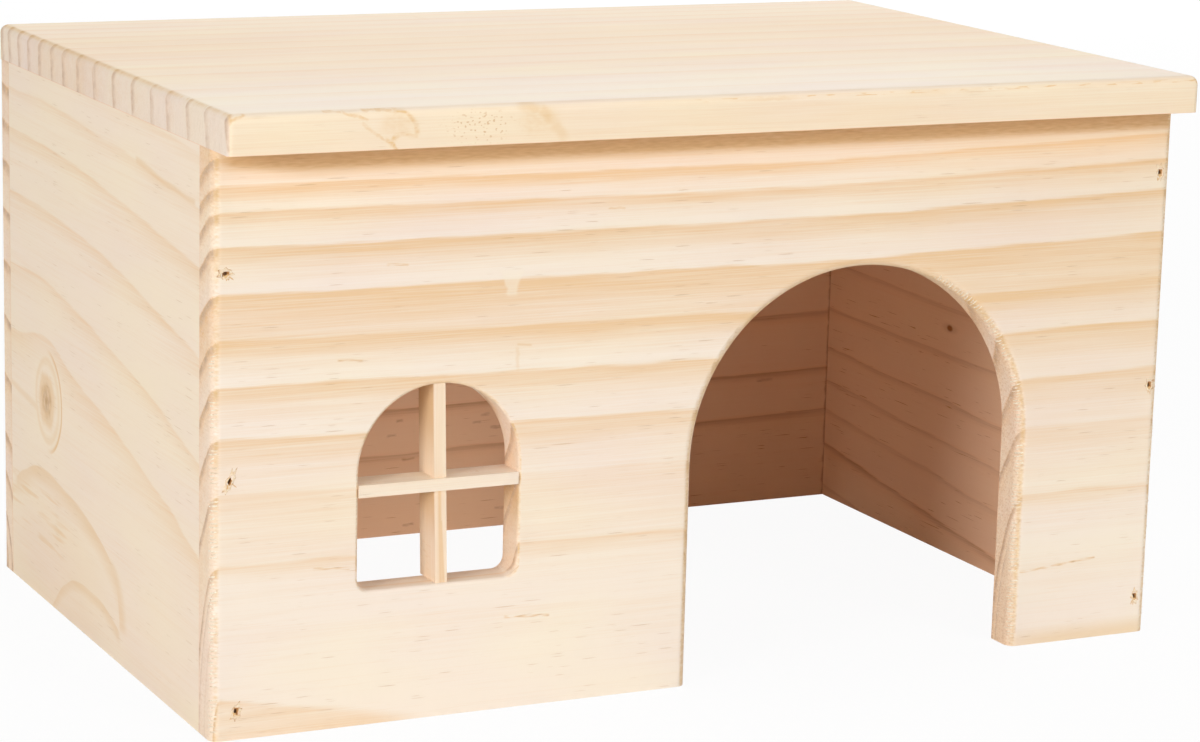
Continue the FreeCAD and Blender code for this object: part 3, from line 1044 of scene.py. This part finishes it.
# name: (edge, its round-over's radius, stretches (from, to) where the planer tore the grain)
TORN_EDGES = {
    "torn_door_edge": (
        door_edge, DOOR_ROUND, [(3, 19), (21, 36), (39, 47), (49, 58), (63, 78), (82, 96), (100, 118)],
    ),
    "torn_left_edge": (left_edge, PANEL_ROUND, [(2, 11), (14, 43), (47, 62), (66, 76), (80, 88), (93, 99)]),
    "torn_right_edge": (right_edge, PANEL_ROUND, [(4, 22), (30, 41), (52, 60), (70, 74)]),
}
RIDGE_PITCH = (0.75, 1.25)
RIDGE_WIDTH = (0.35, 0.65)
RIDGE_HEIGHT = (0.08, 0.24)
RIDGE_START = (5, 30)  # degrees round the round-over, from the opening's side
RIDGE_END = (45, 76)
RIDGE_SLANT = 0.5
RIDGE_STATIONS = 6
RIDGE_BLUNT = 0.08  # how much of a half wave its ends leave out
RIDGE_WOBBLE = 0.05


def add_torn_edge(name, material):
    edge, radius, stretches = TORN_EDGES[name]
    chance = random.Random(name)
    splinters = Splinters()
    for start, end in stretches:
        distance = start + chance.uniform(0, 1)
        while distance < end:
            place, inward, along = edge(distance)
            centre = place - inward * radius + Vector((0, radius, 0))
            low = math.radians(chance.uniform(*RIDGE_START))
            high = math.radians(chance.uniform(*RIDGE_END))
            height = chance.uniform(*RIDGE_HEIGHT)
            slant = chance.uniform(0, RIDGE_SLANT)
            stations = []
            for step in range(RIDGE_STATIONS):
                share = step / (RIDGE_STATIONS - 1)
                turn = low + (high - low) * share
                out = inward * math.cos(turn) - Vector((0, math.sin(turn), 0))
                on = centre + out * radius + along * slant * share
                wave = math.sin(math.pi * (RIDGE_BLUNT + (1 - 2 * RIDGE_BLUNT) * share))
                wobble = along * chance.uniform(-RIDGE_WOBBLE, RIDGE_WOBBLE)
                stations.append((on, on + out * (height * wave + 0.01) + wobble))
            splinters.ridge(stations, along, chance.uniform(*RIDGE_WIDTH))
            distance += chance.uniform(*RIDGE_PITCH)
    splinters.piece(name, material)


# Where the brads broke the face: (x, height, half width, half height, turn in degrees)
FRONT_BREAKS = [
    (LEFT + 3.6, 119.4, 1.05, 0.8, 15),
    (LEFT + 4.8, 67, 0.6, 1.8, -24),
    (LEFT + 6.6, 7.4, 0.75, 1.25, -12),
    (RIGHT - 3.6, 131.9, 0.75, 1.25, 5),
    (RIGHT - 3.1, 71.8, 0.7, 1.15, 5),
    (RIGHT - 3.9, 10.5, 0.6, 1.25, 12),
]
BACK_BREAKS = [
    (LEFT + 5.18, 13.5, 0.8, 1.15, 5),
    (LEFT + 3.96, 75, 0.75, 1.2, 12),
    (LEFT + 5.49, 129, 0.85, 1.1, -6),
    (RIGHT - 4.95, 12, 0.75, 1.2, -10),
    (RIGHT - 5.4, 78, 0.8, 1.1, 4),
    (RIGHT - 4.14, 126, 0.75, 1.15, 8),
]
BREAK_POINTS = 14
BREAK_ROUGH = (0.75, 1.25)  # how the rim's size varies
BREAK_FAR = ((1.5, 1.8), (1.8, 2.8))  # how far the chips reach, by turns
BREAK_LIFT = (0.04, 0.2)
BREAK_SUNK = 0.04  # how far the chips' edges are under the face
BREAK_THROAT = (0.42, -0.7)  # the size and the height of the crushed wood in the hole


def add_breaks(name, breaks, face, out, material):
    """A rim of lifted chips round each brad's hole, and the crushed wood that narrows the hole."""
    chance = random.Random(name)
    splinters = Splinters()
    for x, z, half_width, half_height, turn in breaks:
        turn = math.radians(turn)
        first = len(splinters.points)
        for index in range(BREAK_POINTS):
            angle = 2 * math.pi * index / BREAK_POINTS
            rough = chance.uniform(*BREAK_ROUGH)
            far = chance.uniform(*BREAK_FAR[index % 2])
            lift = chance.uniform(*BREAK_LIFT)
            profile = (BREAK_THROAT, (0.95 * rough, -BREAK_SUNK), (1.3 * rough, lift), (far, -BREAK_SUNK))
            for size, height in profile:
                side, up = math.cos(angle) * half_width * size, math.sin(angle) * half_height * size
                splinters.points.append(Vector((
                    x + side * math.cos(turn) - up * math.sin(turn),
                    face + out * height,
                    z + side * math.sin(turn) + up * math.cos(turn),
                )))
        for index in range(BREAK_POINTS):
            here = first + 4 * index
            there = first + 4 * ((index + 1) % BREAK_POINTS)
            for ring in range(3):
                splinters.faces.append((here + ring, here + ring + 1, there + ring + 1, there + ring))
    splinters.piece(name, material)


SLIVERS = 4  # under each brad
SLIVER_SPREAD = 25  # degrees that they stray from straight down
SLIVER_START = (0.3, 0.7)  # as a share of the hole's half height
SLIVER_LENGTH = (0.8, 2.2)
SLIVER_WIDTH = (0.45, 0.9)
SLIVER_LIFT = 0.05
SLIVER_STATIONS = (0, 0.3, 0.7, 1)


def add_slivers(name, breaks, face, out, material):
    """Stained slivers of wood that the brads pulled out of the face."""
    chance = random.Random(name)
    splinters = Splinters()
    for x, z, _, half_height, turn in breaks:
        for _ in range(SLIVERS):
            angle = math.radians(chance.gauss(-90, SLIVER_SPREAD) + turn * 0.5)
            way = Vector((math.cos(angle), 0, math.sin(angle)))
            start = half_height * chance.uniform(*SLIVER_START)
            length = chance.uniform(*SLIVER_LENGTH)
            stations = []
            for share in SLIVER_STATIONS:
                base = Vector((x, face, z)) + way * (start + length * share)
                lift = 0.01 + SLIVER_LIFT * math.sin(math.pi * share)
                stations.append((base, base + Vector((0, out * lift, 0))))
            splinters.ridge(stations, Vector((-way.z, 0, way.x)), chance.uniform(*SLIVER_WIDTH))
    splinters.piece(name, material)


def add_torn_wood():
    ridges = torn_pine("torn_pine", PALE, TORN, 0.28)
    for name in TORN_EDGES:
        add_torn_edge(name, ridges)
    add_breaks("front_brad_chips", FRONT_BREAKS, FRONT, -1, torn_pine("chipped_front", face=FRONT))
    add_breaks("back_brad_chips", BACK_BREAKS, BACK, 1, torn_pine("chipped_back", face=BACK, into=-1))
    stained = torn_pine("stained_pine", OCHRE, STAIN)
    add_slivers("front_brad_slivers", FRONT_BREAKS, FRONT, -1, stained)
    add_slivers("back_brad_slivers", BACK_BREAKS, BACK, 1, stained)


# ---- the scene

add_camera()
add_lamps()
add_sky()
add_floor()
dress_nodes()
add_torn_wood()
bpy.context.scene.view_settings.view_transform = "Standard"
